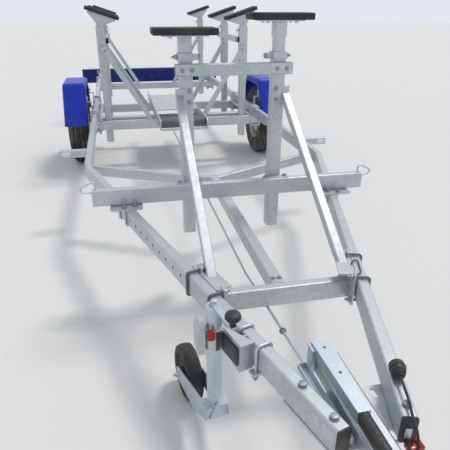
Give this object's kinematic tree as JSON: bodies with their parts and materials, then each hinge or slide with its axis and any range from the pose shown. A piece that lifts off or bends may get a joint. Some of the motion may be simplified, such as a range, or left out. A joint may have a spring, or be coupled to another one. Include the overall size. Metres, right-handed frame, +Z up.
{
  "type": "boat trailer",
  "caption": "Galvanised single-axle yacht trailer with V drawbar, height-adjustable posts with tilting pads, keel plank, mudguards, light board and jockey wheel.",
  "frame": {"origin": "on the ground, below the middle of the overall length and width", "axes": "+X towards the coupling, +Y the trailer's left side, +Z up"},
  "size_m": [7.34, 2, 1.3922],
  "materials": {
    "galvanised": "hot-dip galvanised, dull with a faint spangle",
    "zinc_plated": "bright zinc plate",
    "silver_paint": "silver paint",
    "blue_paint": "dark blue paint",
    "blue_plastic": "moulded blue plastic, satin",
    "black_plastic": "moulded black plastic",
    "white_reflector": "white reflector lens",
    "red_lens": "red lamp lens",
    "black_rubber": "black rubber",
    "grey_rubber": "grey keel roller rubber",
    "road_tyre": "tyre rubber"
  },
  "bodies": {
    "chassis": {"side_rail_left": "galvanised", "side_rail_right": "galvanised", "arm_end_caps": "black_plastic", "front_cross_beam": "galvanised", "drawbar_crossbar": "galvanised", "centre_spine": "galvanised", "rear_cross_beams": "galvanised", "axle": "galvanised", "mudguard_left": "blue_plastic", "mudguard_right": "blue_plastic", "side_brackets": "galvanised", "marker_lamps": "white_reflector", "fixed_posts": "galvanised", "front_tie_and_struts": "galvanised", "rear_braces_and_ties": "galvanised", "keel_plank": "galvanised", "overrun_housing": "galvanised", "coupling_head": "zinc_plated", "draw_bellows": "black_rubber", "handbrake_lever": "zinc_plated", "handbrake_grip": "black_plastic", "brake_rod": "zinc_plated", "frame_clamps": "galvanised", "lead_plug": "black_plastic", "trailer_lead": "black_rubber"},
    "wheel_left": {"road_tyre_left": "road_tyre", "road_rim_left": "silver_paint"},
    "wheel_right": {"road_tyre_right": "road_tyre", "road_rim_right": "silver_paint"},
    "light_board": {"light_board": "blue_paint", "light_board_arms": "galvanised", "rear_lamps": "red_lens"},
    "keel_roller": {"keel_roller": "grey_rubber"},
    "jockey_tube": {"jockey_tube": "zinc_plated", "jockey_knob": "black_plastic"},
    "jockey_leg": {"jockey_leg": "zinc_plated"},
    "jockey_fork": {"jockey_fork": "zinc_plated"},
    "jockey_wheel": {"jockey_wheel": "black_rubber"},
    "front_post_right": {"front_insert_right": "galvanised", "front_pad_right": "black_rubber"},
    "front_post_left": {"front_insert_left": "galvanised", "front_pad_left": "black_rubber"},
    "rear_post_1_right": {"rear_insert_1_right": "galvanised"},
    "rear_pad_1_right": {"rear_saddle_1_right": "galvanised", "rear_pad_1_right": "black_rubber"},
    "rear_post_1_left": {"rear_insert_1_left": "galvanised"},
    "rear_pad_1_left": {"rear_saddle_1_left": "galvanised", "rear_pad_1_left": "black_rubber"},
    "rear_post_2_right": {"rear_insert_2_right": "galvanised"},
    "rear_pad_2_right": {"rear_saddle_2_right": "galvanised", "rear_pad_2_right": "black_rubber"},
    "rear_post_2_left": {"rear_insert_2_left": "galvanised"},
    "rear_pad_2_left": {"rear_saddle_2_left": "galvanised", "rear_pad_2_left": "black_rubber"},
    "rear_post_3_right": {"rear_insert_3_right": "galvanised"},
    "rear_pad_3_right": {"rear_saddle_3_right": "galvanised", "rear_pad_3_right": "black_rubber"},
    "rear_post_3_left": {"rear_insert_3_left": "galvanised"},
    "rear_pad_3_left": {"rear_saddle_3_left": "galvanised", "rear_pad_3_left": "black_rubber"}
  },
  "joints": [
    {"name": "road_wheel_left", "type": "hinge", "parent": "chassis", "child": "wheel_left", "pos_m": [-0.77, 0.8975, 0.325], "axis": [0, 1, 0], "continuous": true},
    {"name": "road_wheel_right", "type": "hinge", "parent": "chassis", "child": "wheel_right", "pos_m": [-0.77, -0.8975, 0.325], "axis": [0, 1, 0], "continuous": true},
    {"name": "jockey_clamp_height", "type": "slide", "parent": "chassis", "child": "jockey_tube", "axis": [0, 0, 1], "range_m": [0, 0.1]},
    {"name": "jockey_screw", "type": "slide", "parent": "jockey_tube", "child": "jockey_leg", "axis": [0, 0, -1], "range_m": [0, 0.2]},
    {"name": "jockey_swivel", "type": "hinge", "parent": "jockey_leg", "child": "jockey_fork", "pos_m": [2.855, -0.29927, 0.2], "axis": [0, 0, 1], "continuous": true},
    {"name": "jockey_wheel_spin", "type": "hinge", "parent": "jockey_fork", "child": "jockey_wheel", "pos_m": [2.56857, -0.34464, 0.11], "axis": [0.1564, -0.9877, 0], "continuous": true},
    {"name": "keel_roller_spin", "type": "hinge", "parent": "chassis", "child": "keel_roller", "pos_m": [-0.05, 0, 0.486], "axis": [0, 1, 0], "continuous": true},
    {"name": "light_board_slide", "type": "slide", "parent": "chassis", "child": "light_board", "axis": [1, 0, 0], "range_m": [0, 0.78]},
    {"name": "front_post_right_height", "type": "slide", "parent": "chassis", "child": "front_post_right", "axis": [0, 0, 1], "range_m": [0, 0.15]},
    {"name": "front_post_left_height", "type": "slide", "parent": "chassis", "child": "front_post_left", "axis": [0, 0, 1], "range_m": [-0.06, 0.12]},
    {"name": "rear_post_1_right_height", "type": "slide", "parent": "chassis", "child": "rear_post_1_right", "axis": [0, 0, 1], "range_m": [0, 0.12]},
    {"name": "rear_pad_1_right_tilt", "type": "hinge", "parent": "rear_post_1_right", "child": "rear_pad_1_right", "pos_m": [-0.47, -0.62, 1.255], "axis": [-1, 0, 0], "range_deg": [-15, 12]},
    {"name": "rear_post_1_left_height", "type": "slide", "parent": "chassis", "child": "rear_post_1_left", "axis": [0, 0, 1], "range_m": [0, 0.12]},
    {"name": "rear_pad_1_left_tilt", "type": "hinge", "parent": "rear_post_1_left", "child": "rear_pad_1_left", "pos_m": [-0.47, 0.62, 1.255], "axis": [1, 0, 0], "range_deg": [-15, 12]},
    {"name": "rear_post_2_right_height", "type": "slide", "parent": "chassis", "child": "rear_post_2_right", "axis": [0, 0, 1], "range_m": [0, 0.12]},
    {"name": "rear_pad_2_right_tilt", "type": "hinge", "parent": "rear_post_2_right", "child": "rear_pad_2_right", "pos_m": [-1.26, -0.62, 1.255], "axis": [-1, 0, 0], "range_deg": [-15, 12]},
    {"name": "rear_post_2_left_height", "type": "slide", "parent": "chassis", "child": "rear_post_2_left", "axis": [0, 0, 1], "range_m": [0, 0.12]},
    {"name": "rear_pad_2_left_tilt", "type": "hinge", "parent": "rear_post_2_left", "child": "rear_pad_2_left", "pos_m": [-1.26, 0.62, 1.255], "axis": [1, 0, 0], "range_deg": [-15, 12]},
    {"name": "rear_post_3_right_height", "type": "slide", "parent": "chassis", "child": "rear_post_3_right", "axis": [0, 0, 1], "range_m": [0, 0.12]},
    {"name": "rear_pad_3_right_tilt", "type": "hinge", "parent": "rear_post_3_right", "child": "rear_pad_3_right", "pos_m": [-2.77, -0.62, 1.255], "axis": [-1, 0, 0], "range_deg": [-15, 12]},
    {"name": "rear_post_3_left_height", "type": "slide", "parent": "chassis", "child": "rear_post_3_left", "axis": [0, 0, 1], "range_m": [0, 0.12]},
    {"name": "rear_pad_3_left_tilt", "type": "hinge", "parent": "rear_post_3_left", "child": "rear_pad_3_left", "pos_m": [-2.77, 0.62, 1.255], "axis": [1, 0, 0], "range_deg": [-15, 12]}
  ]
}
